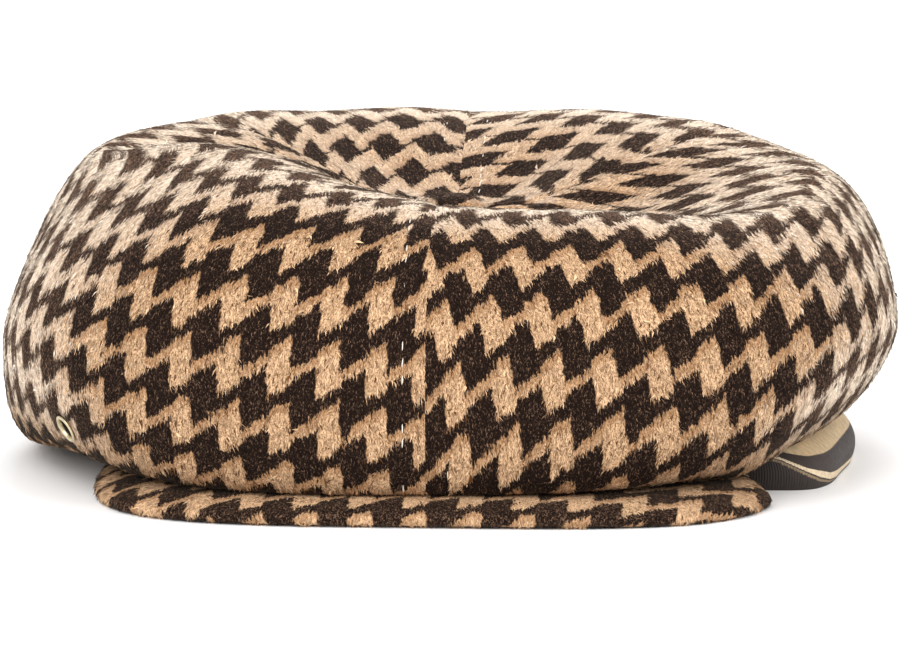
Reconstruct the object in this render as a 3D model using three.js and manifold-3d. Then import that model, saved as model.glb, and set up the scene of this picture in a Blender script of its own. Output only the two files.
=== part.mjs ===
import * as THREE from 'three';
import Module from 'manifold-3d';

const wasm = await Module();
wasm.setup();

// Sizes are in millimetres. The cap faces -Y, the table is z = 0.
const AXIS_X = 0;
const AXIS_Y = -2.2;

// Crown cloth
const CLOTH = 2.2;
const SEAM_GAP = 0.3;
const SEW_GAP = 0.4;
const BAND_EASE = 1.2;
const SEAT_RADIUS = 6;
const DIP_HEIGHT = 73;
const PILLOW = 1.4;
const PILLOW_SEAM_SHARE = 0.75;
const PILLOW_CALM_IN_DIP = 0.7;
const SEAMS = [0, 60, 120, 180, 240, 305, 360];
const PANEL_NAMES = [
  'crown_front_left',
  'crown_side_left',
  'crown_back_left',
  'crown_back_right',
  'crown_side_right',
  'crown_front_right',
];
const PANEL_COLUMNS = 10;
const STRETCH_ROWS = [3, 6, 8, 7];

// One row per section, angles in degrees from the front, turning to the wearer's left.
// foot is the low fold, bulge the widest place, crest the rim of the dip;
// belly and shoulder say how full the side is under and over the bulge (1 is an ellipse).
const SECTION_COLUMNS = [
  'angle', 'bulgeR', 'bulgeZ', 'crestR', 'crestZ',
  'footR', 'footZ', 'hemRise', 'belly', 'shoulder',
];
const SECTIONS = [
  [0, 131, 40, 82, 85, 124, 7.6, 5, 0.8, 1],
  [30, 144, 41, 98, 83, 127, 8.9, 4, 0.85, 1],
  [60, 144.5, 46.8, 111, 80.8, 119.5, 12.5, 1.5, 1.45, 1.2],
  [90, 133, 40.8, 106.5, 87.2, 120, 18, 1.5, 1.4, 0.93],
  [120, 130, 46, 99, 93.5, 114.5, 11, 5, 0.95, 1.1],
  [150, 140, 44, 95, 95.5, 117, 4, 8, 0.8, 1],
  [180, 142, 43, 92, 96, 118, 3, 9, 0.75, 1],
  [210, 141, 41, 92, 96, 119, 3, 9, 0.75, 1],
  [240, 133.5, 38, 96, 97, 121, 3, 9, 0.66, 1.16],
  [270, 133, 35.8, 107, 92, 127.5, 3, 9, 0.63, 1.27],
  [300, 143, 42, 83, 98, 118, 7.9, 5, 0.87, 1.28],
  [330, 145.5, 39, 84, 92, 129, 7.3, 5, 0.8, 1],
];

// One row per fold of the sunk top, running from the dip outwards
const FOLD_NEAR_FADE = 16;
const FOLD_FAR_FADE = 30;
const FOLDS = [
  { angle: 22, nearR: 14, farR: 84, width: 12, depth: 1.6 },
  { angle: 96, nearR: 16, farR: 78, width: 14, depth: 2.2 },
  { angle: 152, nearR: 14, farR: 82, width: 11, depth: 2.6 },
  { angle: 214, nearR: 16, farR: 74, width: 12, depth: 2.2 },
  { angle: 262, nearR: 18, farR: 80, width: 12, depth: 2.4 },
  { angle: 326, nearR: 16, farR: 66, width: 11, depth: 2.2 },
];

// Sweatband, turned out on the wearer's left
const HEAD_HALF_WIDTH = 86;
const HEAD_HALF_LENGTH = 99.5;
const BAND = 1.6;
const BAND_TOP = 27;
const BAND_COLUMNS = 60;
const BAND_ROWS = 4;
const TURN_START = 41;
const TURN_FULL = 57;
const TURN_FADE = 80;
const TURN_END = 126;
const TURN_RADIUS = 121;
const TURN_BOW = 6;
const TURN_LEAN = 11;
const TURN_TOP_LIP = 2;

// Peak
const PEAK_HALF_WIDTH = 102;
const PEAK_REACH = 90;
const PEAK_CENTRE_Y = -48.8;
const PEAK_SQUARE = 3.5;
const PEAK_FROM = -77;
const PEAK_TO = 52.5;
const PEAK_END_ROUND = 9;
const PEAK_END_WIDTH = 4;
const PEAK_TOP = 6.2;
const PEAK_NOSE = 3;
const PEAK_NOSE_SHARPNESS = 5;
const PEAK_LIP = 1.1;
const PEAK_LIP_FROM = 0.88;
const PEAK_LIP_TO = 0.97;
const PEAK_ROW_CROWDING = 1.6;
const PEAK_ARCH = 0.45;
const PEAK_COLUMNS = 21;
const PEAK_ROWS = 7;
const LINING = 1.2;
const LINING_SHARE = 0.84;
const LINING_ROWS = 4;
const LAYER_GAP = 0.3;

// Top button and vent eyelet
const BUTTON_RADIUS = 10.5;
const BUTTON_HEIGHT = 6;
const BUTTON_LIFT = 1.1;
const BUTTON_EDGE = 0.6;
const BUTTON_UNDERCUT = 1;
const BUTTON_DOME_STEPS = 7;
const BUTTON_STEM = 5.4;
const BUTTON_STEM_DROP = 3.2;
const EYELET_ANGLE = 310.8;
const EYELET_STRETCH = 1.592;
const EYELET_OUTER = 4.9;
const EYELET_HOLE = 3;
const EYELET_ROLL = 0.2;
const EYELET_BACK_SETBACK = 0.6;
const EYELET_BARREL = 0.5;
const EYELET_FLANGE = 0.8;
const EYELET_CLEAR = 0.35;
const EYELET_INSIDE_CLEAR = 1.1;

const radians = THREE.MathUtils.degToRad;
const smooth = (x, from, to) => THREE.MathUtils.smoothstep(x, from, to);

// A column of the section table at any angle, by a closed cubic through its rows
function column(name, angle) {
  const count = SECTIONS.length;
  const place = (((angle % 360) + 360) % 360) / (360 / count);
  const row = Math.floor(place);
  const f = place - row;
  const k = SECTION_COLUMNS.indexOf(name);
  const [a, b, c, d] = [-1, 0, 1, 2].map((step) => SECTIONS[(row + step + count) % count][k]);
  const bend = 2 * a - 5 * b + 4 * c - d;
  const twist = 3 * b - a - 3 * c + d;
  return 0.5 * (2 * b + (c - a) * f + bend * f * f + twist * f * f * f);
}

function wrap(angle) {
  return ((((angle + 180) % 360) + 360) % 360) - 180;
}

// Sweatband, by angle and by share of its height
function turnout(angle) {
  const a = wrap(angle);
  return smooth(a, TURN_START, TURN_FULL) * (1 - smooth(a, TURN_FADE, TURN_END));
}

function hemHeight(angle) {
  return column('footZ', angle) + column('hemRise', angle);
}

function bandTop(angle) {
  const out = turnout(angle);
  return THREE.MathUtils.lerp(BAND_TOP, hemHeight(angle) + TURN_TOP_LIP, out);
}

function bandInner(angle, share) {
  const s = Math.sin(radians(angle)) / HEAD_HALF_WIDTH;
  const c = Math.cos(radians(angle)) / HEAD_HALF_LENGTH;
  const head = 1 / Math.hypot(s, c);
  const out = turnout(angle);
  const bow = TURN_BOW * Math.sin(Math.PI * share) - TURN_LEAN * share;
  return THREE.MathUtils.lerp(head, TURN_RADIUS, out) + out * bow;
}

function bandSteepness(angle, share) {
  const step = 0.5;
  const change = bandInner(angle + step, share) - bandInner(angle - step, share);
  return change / radians(2 * step) / bandInner(angle, share);
}

function bandOuter(angle, share) {
  return bandInner(angle, share) + BAND * Math.hypot(1, bandSteepness(angle, share));
}

function bandOuterAt(angle, height) {
  return bandOuter(angle, Math.min(1, height / bandTop(angle)));
}

// Clear of the band at a height, eased off where the band runs outwards
function besideBand(angle, height) {
  const steep = Math.abs(bandSteepness(angle, Math.min(1, height / bandTop(angle))));
  return bandOuterAt(angle, height) + SEW_GAP + BAND_EASE * steep;
}

// Crown section at an angle: stretch 0-1 tucks from hem to foot, 1-2 rises to the bulge,
// 2-3 rolls over to the crest, 3-4 falls into the dip
function sectionPoint(angle, stretch) {
  const value = (name) => column(name, angle);
  const footR = value('footR');
  const footZ = value('footZ');
  const bulgeR = value('bulgeR');
  const bulgeZ = value('bulgeZ');
  const crestR = value('crestR');
  const crestZ = value('crestZ');
  const part = Math.min(3, Math.floor(stretch));
  const f = stretch - part;
  const turn = (f * Math.PI) / 2;
  if (part === 0) {
    const hemZ = hemHeight(angle);
    const hemR = besideBand(angle, hemZ);
    const back = 1 - f;
    const rise = 1 - Math.cos((back * Math.PI) / 2);
    return [footR + (hemR - footR) * back, footZ + (hemZ - footZ) * rise];
  }
  if (part === 1) {
    const belly = value('belly');
    const out = Math.sin(turn) ** belly;
    const under = Math.max(0, Math.cos(turn)) ** belly;
    return [footR + (bulgeR - footR) * out, bulgeZ - (bulgeZ - footZ) * under];
  }
  if (part === 2) {
    const shoulder = value('shoulder');
    const out = Math.max(0, Math.cos(turn)) ** shoulder;
    const over = Math.sin(turn) ** shoulder;
    return [crestR + (bulgeR - crestR) * out, bulgeZ + (crestZ - bulgeZ) * over];
  }
  const r = crestR + (SEAT_RADIUS - crestR) * f;
  const rise = (1 - Math.cos((Math.PI * r) / crestR)) / 2;
  return [r, DIP_HEIGHT + (crestZ - DIP_HEIGHT) * rise];
}

function polar(angle, r, z) {
  const a = radians(angle);
  return new THREE.Vector3(AXIS_X + r * Math.sin(a), AXIS_Y - r * Math.cos(a), z);
}

function normalOf(surface, angle, stretch) {
  const da = 0.05;
  const ds = 0.004;
  const low = Math.max(0, stretch - ds);
  const high = Math.min(4, stretch + ds);
  const along = surface(angle, high).sub(surface(angle, low));
  const across = surface(angle + da, stretch).sub(surface(angle - da, stretch));
  return across.cross(along).normalize();
}

const plainCrown = (angle, stretch) => polar(angle, ...sectionPoint(angle, stretch));

// Cloth stands proud between seams and sinks along the folds of the dip
function relief(angle, stretch) {
  const turned = ((angle % 360) + 360) % 360;
  const panel = SEAMS.findLastIndex((seam) => seam <= turned);
  const from = SEAMS[panel];
  const to = SEAMS[panel + 1];
  const share = (2 * (turned - from)) / (to - from) - 1;
  const pillow = PILLOW * (1 - share ** 4 - PILLOW_SEAM_SHARE);
  const calm = smooth(stretch, 1, 1.6) * (1 - PILLOW_CALM_IN_DIP * smooth(stretch, 3, 4));
  let lift = pillow * calm;
  if (stretch > 2.5) {
    const [r] = sectionPoint(angle, stretch);
    for (const fold of FOLDS) {
      const aside = radians(wrap(angle - fold.angle)) * r;
      const near = smooth(r, fold.nearR, fold.nearR + FOLD_NEAR_FADE);
      const far = 1 - smooth(r, fold.farR - FOLD_FAR_FADE, fold.farR);
      lift -= fold.depth * near * far * Math.exp(-((aside / fold.width) ** 2));
    }
  }
  return lift;
}

function crown(angle, stretch) {
  const normal = normalOf(plainCrown, angle, stretch);
  return plainCrown(angle, stretch).addScaledVector(normal, relief(angle, stretch));
}

// Box of unit size bent by a map from its across, along and through shares
function bentBox(columns, rows, map) {
  const geometry = new THREE.BoxGeometry(1, 1, 1, columns, rows, 1);
  const position = geometry.getAttribute('position');
  for (let i = 0; i < position.count; i++) {
    const across = position.getX(i) + 0.5;
    const along = position.getY(i) + 0.5;
    const through = 0.5 - position.getZ(i);
    const p = map(across, along, through);
    position.setXYZ(i, p.x, p.y, p.z);
  }
  return geometry;
}

function stretchOf(along) {
  const total = STRETCH_ROWS.reduce((sum, rows) => sum + rows, 0);
  let left = along * total;
  for (let part = 0; part < STRETCH_ROWS.length; part++) {
    if (left <= STRETCH_ROWS[part] + 1e-6) return part + Math.min(1, left / STRETCH_ROWS[part]);
    left -= STRETCH_ROWS[part];
  }
  return STRETCH_ROWS.length;
}

function panelGeometry(from, to) {
  const rows = STRETCH_ROWS.reduce((sum, count) => sum + count, 0);
  return bentBox(PANEL_COLUMNS, rows, (across, along, through) => {
    const stretch = stretchOf(along);
    const middle = from + (to - from) * across;
    const [r] = sectionPoint(middle, stretch);
    const trim = THREE.MathUtils.radToDeg(SEAM_GAP / 2 / r);
    const angle = from + trim + (to - from - 2 * trim) * across;
    const normal = normalOf(crown, angle, stretch);
    return crown(angle, stretch).addScaledVector(normal, -CLOTH * through);
  });
}

// Peak
function peakEdge(angle) {
  let low = 60;
  let high = 180;
  for (let k = 0; k < 40; k++) {
    const r = (low + high) / 2;
    const x = (r * Math.sin(radians(angle))) / PEAK_HALF_WIDTH;
    const y = (AXIS_Y - r * Math.cos(radians(angle)) - PEAK_CENTRE_Y) / PEAK_REACH;
    const inside = Math.abs(x) ** PEAK_SQUARE + (y < 0 ? Math.abs(y) ** PEAK_SQUARE : 0) < 1;
    if (inside) low = r;
    else high = r;
  }
  return low;
}

function peakPlan(angle, out) {
  const inner = Math.max(besideBand(angle, 0), besideBand(angle, PEAK_TOP));
  const ends = Math.min(angle - PEAK_FROM, PEAK_TO - angle);
  const short = Math.max(0, 1 - ends / PEAK_END_ROUND);
  const full = Math.max(PEAK_END_WIDTH, peakEdge(angle) - inner);
  const width = Math.max(PEAK_END_WIDTH, full * Math.sqrt(1 - short * short));
  return polar(angle, inner + width * out, 0);
}

function peakArch(x, out) {
  return PEAK_ARCH * out * Math.max(0, 1 - (x / PEAK_HALF_WIDTH) ** 2);
}

function peakGeometry() {
  return bentBox(PEAK_COLUMNS, PEAK_ROWS, (across, along, through) => {
    const out = 1 - along;
    const spread = 1 - (1 - out) ** PEAK_ROW_CROWDING;
    const p = peakPlan(PEAK_FROM + (PEAK_TO - PEAK_FROM) * across, spread);
    const nose = spread ** PEAK_NOSE_SHARPNESS;
    const top = PEAK_TOP - PEAK_NOSE * nose;
    const lip = PEAK_LIP * smooth(spread, PEAK_LIP_FROM, PEAK_LIP_TO);
    const bottom = LINING + LAYER_GAP - lip;
    p.z = peakArch(p.x, spread) + THREE.MathUtils.lerp(top, bottom, through);
    return p;
  });
}

function liningGeometry() {
  return bentBox(PEAK_COLUMNS, LINING_ROWS, (across, along, through) => {
    const spread = LINING_SHARE * (1 - along);
    const p = peakPlan(PEAK_FROM + (PEAK_TO - PEAK_FROM) * across, spread);
    p.z = peakArch(p.x, spread) + LINING * (1 - through);
    return p;
  });
}

// A ring is a turned loop whose radius holds the layer and whose height holds the share
function bandGeometry() {
  const loop = [];
  for (let k = 0; k <= BAND_ROWS; k++) loop.push(new THREE.Vector2(2, k / BAND_ROWS));
  for (let k = BAND_ROWS; k >= 0; k--) loop.push(new THREE.Vector2(1, k / BAND_ROWS));
  loop.push(loop[0].clone());
  const geometry = new THREE.LatheGeometry(loop, BAND_COLUMNS);
  const position = geometry.getAttribute('position');
  for (let i = 0; i < position.count; i++) {
    const x = position.getX(i);
    const z = position.getZ(i);
    const share = position.getY(i);
    const angle = THREE.MathUtils.radToDeg(Math.atan2(x, z));
    const outside = Math.hypot(x, z) > 1.5;
    const r = outside ? bandOuter(angle, share) : bandInner(angle, share);
    const p = polar(angle, r, share * bandTop(angle));
    position.setXYZ(i, p.x, p.y, p.z);
  }
  return geometry;
}

function turned(profile, segments) {
  const points = profile.map(([r, z]) => new THREE.Vector2(r, z));
  return new THREE.LatheGeometry(points, segments);
}

function buttonGeometry() {
  const profile = [
    [0, -BUTTON_STEM_DROP],
    [BUTTON_STEM, -BUTTON_STEM_DROP],
    [BUTTON_STEM, BUTTON_LIFT],
    [BUTTON_RADIUS - BUTTON_UNDERCUT, BUTTON_LIFT],
  ];
  const edge = BUTTON_LIFT + BUTTON_EDGE;
  for (let k = 0; k < BUTTON_DOME_STEPS; k++) {
    const a = (k / BUTTON_DOME_STEPS) * (Math.PI / 2);
    profile.push([BUTTON_RADIUS * Math.cos(a), edge + (BUTTON_HEIGHT - edge) * Math.sin(a)]);
  }
  profile.push([0, BUTTON_HEIGHT]);
  const geometry = turned(profile, 24).rotateX(Math.PI / 2);
  return geometry.translate(AXIS_X, AXIS_Y, DIP_HEIGHT);
}

function eyeletGeometry() {
  const barrel = EYELET_HOLE + EYELET_BARREL;
  const inside = -CLOTH - EYELET_INSIDE_CLEAR;
  const back = EYELET_OUTER - EYELET_BACK_SETBACK;
  const profile = [
    [EYELET_HOLE, inside - EYELET_FLANGE],
    [back, inside - EYELET_FLANGE],
    [back, inside],
    [barrel, inside],
    [barrel, EYELET_CLEAR],
    [EYELET_OUTER, EYELET_CLEAR],
    [EYELET_OUTER - EYELET_ROLL, EYELET_CLEAR + 0.5 * EYELET_FLANGE],
    [(EYELET_OUTER + EYELET_HOLE) / 2, EYELET_CLEAR + EYELET_FLANGE],
    [EYELET_HOLE + EYELET_ROLL, EYELET_CLEAR + 0.6 * EYELET_FLANGE],
    [EYELET_HOLE, EYELET_CLEAR],
    [EYELET_HOLE, inside - EYELET_FLANGE],
  ];
  return turned(profile, 20);
}

// Stands a turned piece, made along +Y, on the crown at the eyelet's place
function atEyelet(geometry) {
  const normal = normalOf(crown, EYELET_ANGLE, EYELET_STRETCH);
  const turn = new THREE.Quaternion().setFromUnitVectors(new THREE.Vector3(0, 1, 0), normal);
  const spot = crown(EYELET_ANGLE, EYELET_STRETCH);
  return geometry.applyQuaternion(turn).translate(spot.x, spot.y, spot.z);
}

function toSolid(geometry) {
  const position = geometry.getAttribute('position');
  const mesh = new wasm.Mesh({
    numProp: 3,
    vertProperties: new Float32Array(position.array),
    triVerts: new Uint32Array(geometry.index.array),
  });
  mesh.merge();
  return new wasm.Manifold(mesh);
}

function toGeometry(solid) {
  const mesh = solid.getMesh();
  const geometry = new THREE.BufferGeometry();
  geometry.setAttribute('position', new THREE.BufferAttribute(new Float32Array(mesh.vertProperties), 3));
  geometry.setIndex(new THREE.BufferAttribute(new Uint32Array(mesh.triVerts), 1));
  return geometry;
}

function pierced(panel) {
  const radius = EYELET_HOLE + EYELET_BARREL + EYELET_CLEAR;
  const punch = atEyelet(new THREE.CylinderGeometry(radius, radius, 6 * CLOTH, 20));
  return toGeometry(toSolid(panel).subtract(toSolid(punch)));
}

const wool = new THREE.MeshStandardMaterial({ color: '#9b7a55', roughness: 0.95, metalness: 0 });
const darkLining = new THREE.MeshStandardMaterial({ color: '#191617', roughness: 0.8, metalness: 0 });
const ribbon = new THREE.MeshStandardMaterial({ color: '#5a4a40', roughness: 0.6, metalness: 0 });
const brass = new THREE.MeshStandardMaterial({ color: '#b99b62', roughness: 0.35, metalness: 1 });

const cap = new THREE.Group();
cap.name = 'driving_cap';

function add(name, geometry, material) {
  const mesh = new THREE.Mesh(geometry, material);
  mesh.name = name;
  cap.add(mesh);
}

PANEL_NAMES.forEach((name, k) => {
  const panel = panelGeometry(SEAMS[k], SEAMS[k + 1]);
  const holed = EYELET_ANGLE > SEAMS[k] && EYELET_ANGLE < SEAMS[k + 1];
  add(name, holed ? pierced(panel) : panel, wool);
});
add('top_button', buttonGeometry(), wool);
add('peak', peakGeometry(), wool);
add('peak_lining', liningGeometry(), darkLining);
add('sweatband', bandGeometry(), ribbon);
add('eyelet', atEyelet(eyeletGeometry()), brass);

export default cap;
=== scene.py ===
"""Driving cap of brushed houndstooth wool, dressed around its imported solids.

Tables and sizes are in millimetres and degrees, and MM turns them into the scene's metres.
Angles are counted from the front of the cap towards the wearer's left (+X).
"""

import math
from types import SimpleNamespace

import bmesh
import bpy
import numpy as np
from mathutils import Matrix, Vector


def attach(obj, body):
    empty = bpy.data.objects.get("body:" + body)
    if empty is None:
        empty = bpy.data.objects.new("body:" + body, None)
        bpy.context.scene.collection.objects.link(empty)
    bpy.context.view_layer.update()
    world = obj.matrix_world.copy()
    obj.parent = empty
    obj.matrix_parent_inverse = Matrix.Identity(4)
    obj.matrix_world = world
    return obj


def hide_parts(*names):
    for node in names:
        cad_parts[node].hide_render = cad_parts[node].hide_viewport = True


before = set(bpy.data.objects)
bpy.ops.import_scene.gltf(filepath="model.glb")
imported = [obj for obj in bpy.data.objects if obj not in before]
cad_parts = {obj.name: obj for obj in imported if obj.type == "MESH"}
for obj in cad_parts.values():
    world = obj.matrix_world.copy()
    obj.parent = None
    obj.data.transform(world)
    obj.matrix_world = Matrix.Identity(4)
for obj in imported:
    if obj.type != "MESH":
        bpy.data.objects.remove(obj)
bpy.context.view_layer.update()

MM = 0.001

# The crown's place and cloth
AXIS_X, AXIS_Y = 0.0, -2.2
CLOTH = 2.2
SEAM_GAP = -0.1
SEW_GAP = 0.4
BAND_EASE = 1.2
SEAT_RADIUS = 6
DIP_HEIGHT = 73
PILLOW = 0.6
PILLOW_FROM, PILLOW_FULL = 1, 1.6
PILLOW_SEAM_SHARE = 0.75
PILLOW_CALM_IN_DIP = 0.7
SEAMS = (0, 60, 120, 180, 240, 305, 360)
PANEL_NAMES = (
    "crown_front_left",
    "crown_side_left",
    "crown_back_left",
    "crown_back_right",
    "crown_side_right",
    "crown_front_right",
)
PANEL_COLUMNS = 48
PANEL_ROWS = (10, 20, 30, 32)
OPEN_TUCK_ROWS = 3
HOLE_PATCH = 2.2
HOLE_CUTS = 5

# One row per section of the crown: the low fold (foot), the widest place (bulge), the rim of the
# dip (crest), and how full the side is under and over the bulge (1 is an ellipse)
SECTION_COLUMNS = (
    "angle", "bulge_r", "bulge_z", "crest_r", "crest_z",
    "foot_r", "foot_z", "hem_rise", "belly", "shoulder",
)
SECTIONS = np.array((
    (0, 131, 40, 82, 85, 124, 7.6, 5, 0.8, 1),
    (30, 144, 41, 98, 83, 127, 8.9, 4, 0.85, 1),
    (60, 144.5, 46.8, 111, 80.8, 119.5, 12.5, 1.5, 1.45, 1.2),
    (90, 133, 40.8, 106.5, 87.2, 120, 18, 1.5, 1.4, 0.93),
    (120, 130, 46, 99, 93.5, 114.5, 11, 5, 0.95, 1.1),
    (150, 140, 44, 95, 95.5, 117, 4, 8, 0.8, 1),
    (180, 142, 43, 92, 96, 118, 3, 9, 0.75, 1),
    (210, 141, 41, 92, 96, 119, 3, 9, 0.75, 1),
    (240, 133.5, 38, 96, 97, 121, 3, 9, 0.66, 1.16),
    (270, 133, 35.8, 107, 92, 127.5, 3, 9, 0.63, 1.27),
    (300, 143, 42, 83, 98, 118, 7.9, 5, 0.87, 1.28),
    (330, 145.5, 39, 84, 92, 129, 7.3, 5, 0.8, 1),
))

# The sunk top lies deepest behind the front crest, on the wearer's left
HOLLOW = 6.5
HOLLOW_ANGLE = 68
HOLLOW_WIDTH = 40

# Folds of the sunk top, one row each: angle, where it starts and ends, half width, depth
FOLDS_FROM = 2.5
FOLD_NEAR_FADE = 16
FOLD_FAR_FADE = 30
FOLDS = (
    (22, 14, 84, 12, 1.6),
    (96, 16, 78, 14, 2.2),
    (152, 14, 82, 11, 2.6),
    (214, 16, 74, 12, 2.2),
    (262, 18, 80, 12, 2.4),
    (326, 16, 66, 11, 2.2),
)

# The low fold sags beside the end of the peak
SAG = 2.6
SAG_ANGLE = 46
SAG_WIDTH = 6.5

# Fine relief of the sewn cloth
SEAM_VALLEY = 0.6
FLAT_SEAM_CALM = 0.85
SEAM_VALLEY_WIDTH = 1.5
FRONT_SEAM_COSINE = 0.86
SEWN_FROM, SEWN_FULL = 0.9, 1.3
SEAM_FADE = 0.6
SEAM_FADE_FROM, SEAM_FADE_TO = 30, 14
PUCKER = 0.12
PUCKER_PITCH = 9.0
PUCKER_WIDTH = 9.0
PUCKER_SLANT = 0.8
GATHER = 0.55
GATHER_COUNT = 17
GATHER_UNEVEN = 1.6
GATHER_FROM, GATHER_FULL, GATHER_FADE, GATHER_REACH = 8, 16, 18, 38
RUMPLE = 0.45
RUMPLE_WAVES = 9
RUMPLES_AROUND = (3, 12)
RUMPLES_UPWARD = (1.0, 4.0)
RUMPLE_FROM, RUMPLE_FULL = 1, 1.8
RUMPLE_SEED = 11

# Sweatband, turned out on the wearer's left
HEAD_HALF_WIDTH = 86
HEAD_HALF_LENGTH = 99.5
BAND = 1.6
BAND_TOP = 27
BAND_ROWS = 22
TURN_START, TURN_FULL, TURN_FADE, TURN_END = 45, 60, 80, 126
TURN_RADIUS = 121
TURN_BOW = 6
TURN_LEAN = 11
TURN_TOP_LIP = 2
LOOP_ANGLE = 61
LOOP_WIDTH = 9
LOOP_BULGE = 5.5
LOOP_TOP_CALM = 0.7
# Angles round the ribbon with the columns of its grid up to the next, closest where it turns out
RIBBON_STEPS = ((-180, 120), (44, 80), (80, 60), (180, 0))

# Peak and its lining
PEAK_HALF_WIDTH = 100
PEAK_REACH = 90
PEAK_CENTRE_Y = -48.8
PEAK_SQUARE = 3.7
PEAK_FROM, PEAK_TO = -77, 51.3
PEAK_END_ROUND = 7
PEAK_END_WIDTH = 4
PEAK_TOP = 7.3
PEAK_NOSE = 3.9
PEAK_NOSE_SHARPNESS = 5
PEAK_LIP = 1.1
PEAK_LIP_FROM, PEAK_LIP_TO = 0.88, 0.97
PEAK_ARCH = 0.45
PEAK_COLUMNS = 150
PEAK_EDGE_FROM, PEAK_EDGE_TO = 60.0, 180.0
PEAK_EDGE_STEPS = 40
LINING = 1.2
LINING_SHARE = 0.84
LINING_COLUMNS = 90
LINING_ROWS = 13
LAYER_GAP = 0.3

# Rows of the peak's grid: underneath from its sewn edge, round the nose, and back over the top
PEAK_UNDER_ROWS = 12
PEAK_NOSE_ROWS = 5
PEAK_TOP_ROWS = 24
PEAK_UNDER_SPACING = 0.5
PEAK_TOP_SPACING = 1.8
PEAK_NOSE_ROUND = 0.02

# Top button and vent eyelet
BUTTON_RADIUS = 10.5
BUTTON_HEIGHT = 6
BUTTON_LIFT = 1.1
BUTTON_CLOTH = 1.0
BUTTON_TURN_IN = ((1.6, 0), (0.4, 0.2))
BUTTON_EDGE = 0.9
BUTTON_SWING = (4, 89)
BUTTON_ROWS = 16
BUTTON_COLUMNS = 48
BUTTON_PLEAT = 0.12
BUTTON_PLEATS = 11
BUTTON_PLEATS_FROM = 5
EYELET_ANGLE = 310.8
EYELET_STRETCH = 1.592
EYELET_OUTER = 4.5
EYELET_HOLE = 3.1
EYELET_CLEAR = 0.35
EYELET_BACK = -4.1
EYELET_PUNCH = 3.6
EYELET_STEPS = 40
# How far past the hole the painted shade of the barrel's inside reaches
EYELET_SHADE_WALL = 0.1

# The eyelet's section as radius and height: its flared back, its barrel and its domed flange
EYELET_PROFILE = (
    (EYELET_HOLE, EYELET_BACK),
    (EYELET_OUTER - 0.7, EYELET_BACK),
    (EYELET_OUTER - 0.6, EYELET_BACK + 0.5),
    (EYELET_HOLE + 0.5, EYELET_BACK + 0.8),
    (EYELET_HOLE + 0.5, EYELET_CLEAR),
    (EYELET_OUTER - 0.1, EYELET_CLEAR - 0.15),
    (EYELET_OUTER, EYELET_CLEAR + 0.15),
    (EYELET_OUTER - 0.3, EYELET_CLEAR + 0.4),
    ((EYELET_OUTER + EYELET_HOLE) / 2, EYELET_CLEAR + 0.55),
    (EYELET_HOLE + 0.25, EYELET_CLEAR + 0.4),
    (EYELET_HOLE, EYELET_CLEAR + 0.1),
)

# Houndstooth: one repeat across and along the grain, and how the check runs on each piece. A pair
# of rows counts repeats across and along, from x (across) and y (along) in steps of GRAIN_STEP: a
# start, a share of x and of y, then the bends x*x, x*y and y*y where the cloth was eased
CHECK_ACROSS = 14.5
CHECK_ALONG = 18.0
DARK_COLUMN_AT, LIGHT_COLUMN_AT = 0.25, 0.75
DARK_LINK_AT, LIGHT_LINK_AT = 0.25, 0.75
DARK_COLUMN = 0.55
DARK_LINK = 0.25
DARK_LINK_RISE = 0.22
LIGHT_LINK = 0.175
LIGHT_LINK_RISE = 0.24
GRAIN_STEP = 50
GRAIN_BEND_X = (-2.8, 2.8)
GRAIN_BEND_Y = (-1.0, 1.2)
LEFT_GRAIN = ((-0.84, 3.69, 0.49, -0.18, 0.11, 0.52), (-3.01, -0.5, 2.53, 0.16, 0.17, 0.13))
RIGHT_GRAIN = ((4.82, 3.89, -0.06, 0.21, -0.04, -0.3), (-3.41, 0.23, 2.66, 0.05, -0.18, -0.19))
GRAIN = {
    "crown_front_left": LEFT_GRAIN,
    "crown_side_left": LEFT_GRAIN,
    "crown_back_left": ((0.4, 3.4, -0.2, 0, 0, 0), (0.1, 0, 2.8, 0, 0, 0)),
    "crown_back_right": ((0.1, 3.4, 0.2, 0, 0, 0), (0.6, 0, 2.8, 0, 0, 0)),
    "crown_side_right": RIGHT_GRAIN,
    "crown_front_right": RIGHT_GRAIN,
    "peak": ((0.925, 3.247, 0, 0, 0, 0), (0.17, 0, 2.8, 0, 0, 0)),
    "top_button": ((0.25, 2.1, 0.7, 0, 0, 0), (0.3, -0.7, 1.7, 0, 0, 0)),
}

# Nap: strands lie combed down the cloth, and a few strays stand out of it
STRANDS_PER_PANEL = 31000
STRANDS_ON_PEAK = 15000
STRANDS_ON_BUTTON = 900
STRAND_LENGTH = (1.1, 2.8)
STRAY_LENGTH = (2.0, 3.4)
DARK_STRAND_SHARE = 0.6
STRAY_SHARE = 0.05
STRAND_RISE = (0.02, 0.12)
STRAY_RISE = (0.05, 0.28)
STRAND_HALF_WIDTH = (0.055, 0.11)
STRAND_SWERVE = 15
STRAY_SWERVE = 2.2
DRIFT = 8
DRIFT_ACROSS, DRIFT_ALONG = 9.0, 13.0
DRIFT_WAVER = 1.7
STRAND_CURL = 0.1
STRAND_SINK = 0.08
BELLY_PLACE = 0.45
BELLY_RISE = 0.6
BELLY_LIFT = 0.12
TIP_LIFT = 0.04
SIDE_LEAN, DOWN_LEAN = 0.18, 0.1
CELL_MARGIN = 0.15
HIDDEN_TUCK_SHARE = 0.12
LOWEST_STRAND = 0.1
CROWN_NAP_SEED, PEAK_NAP_SEED, BUTTON_NAP_SEED = 100, 200, 300

# Topstitching beside the front and back seams
STITCH_SEAMS = (0, 180)
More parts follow.
